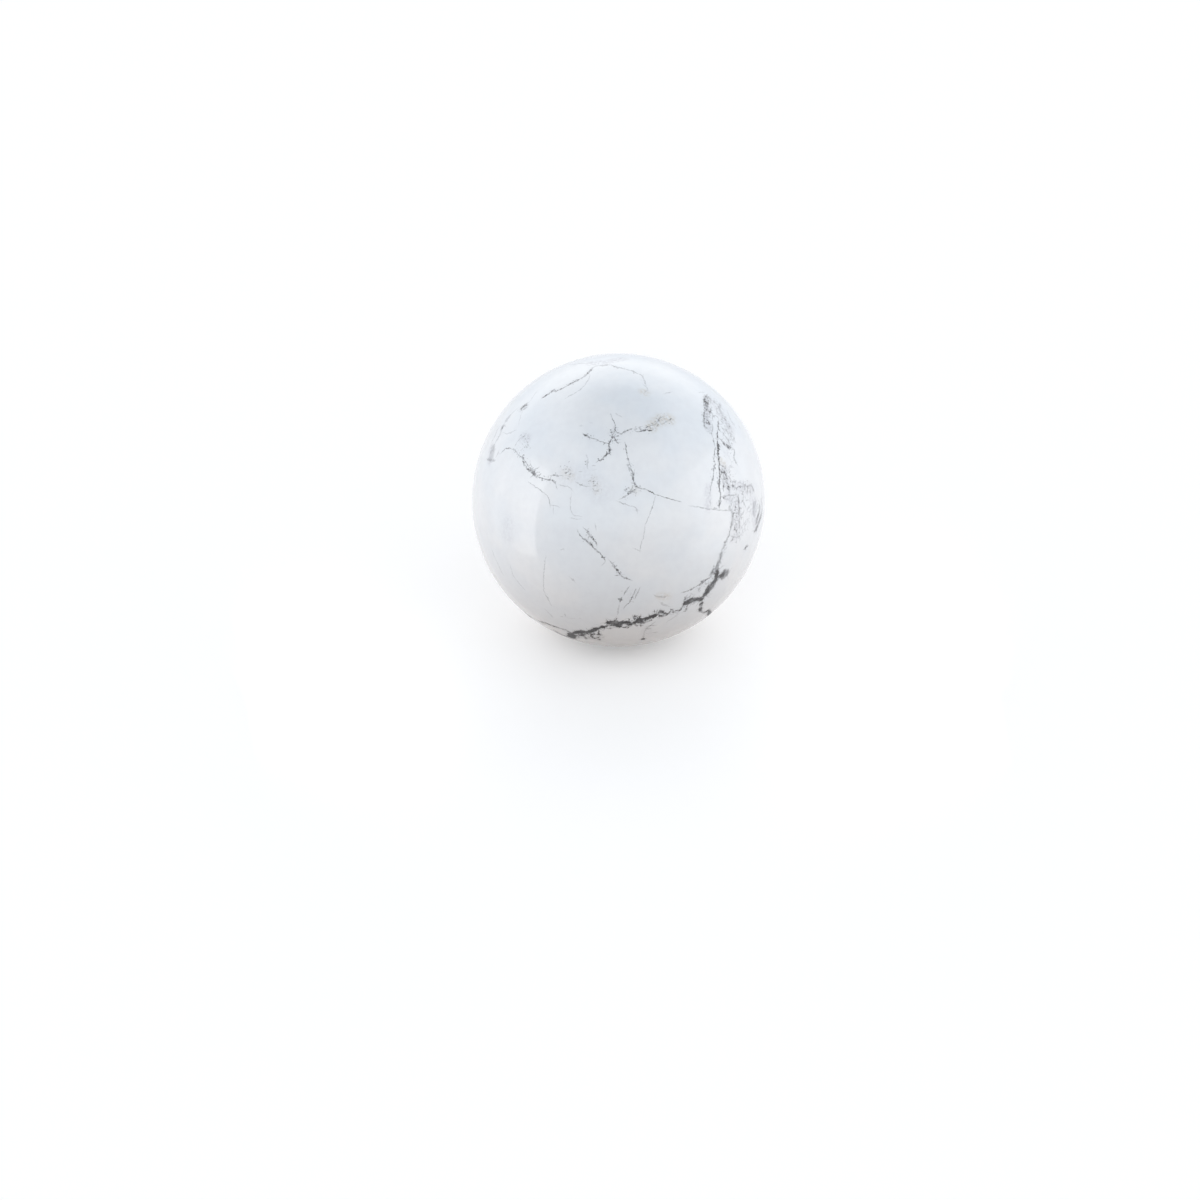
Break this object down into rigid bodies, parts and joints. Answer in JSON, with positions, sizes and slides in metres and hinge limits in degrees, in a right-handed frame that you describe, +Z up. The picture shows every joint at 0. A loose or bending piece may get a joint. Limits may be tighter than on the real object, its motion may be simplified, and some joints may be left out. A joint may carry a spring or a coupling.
{
  "type": "howlite sphere",
  "caption": "Polished solid ball of white howlite with a web of grey veins, a desk ornament that sits in a ring stand or a dished holder.",
  "frame": {"origin": "centre of the ball", "axes": "+Z up as the ball lies in the picture, -Y towards the viewer, +X to the viewer's right"},
  "size_m": [0.076, 0.076, 0.076],
  "materials": {
    "polished_howlite": "high polish on cool white stone, with hairline to 2 mm wide veins of grey and charcoal"
  },
  "bodies": {
    "root": {"howlite_sphere": "polished_howlite"}
  },
  "joints": []
}
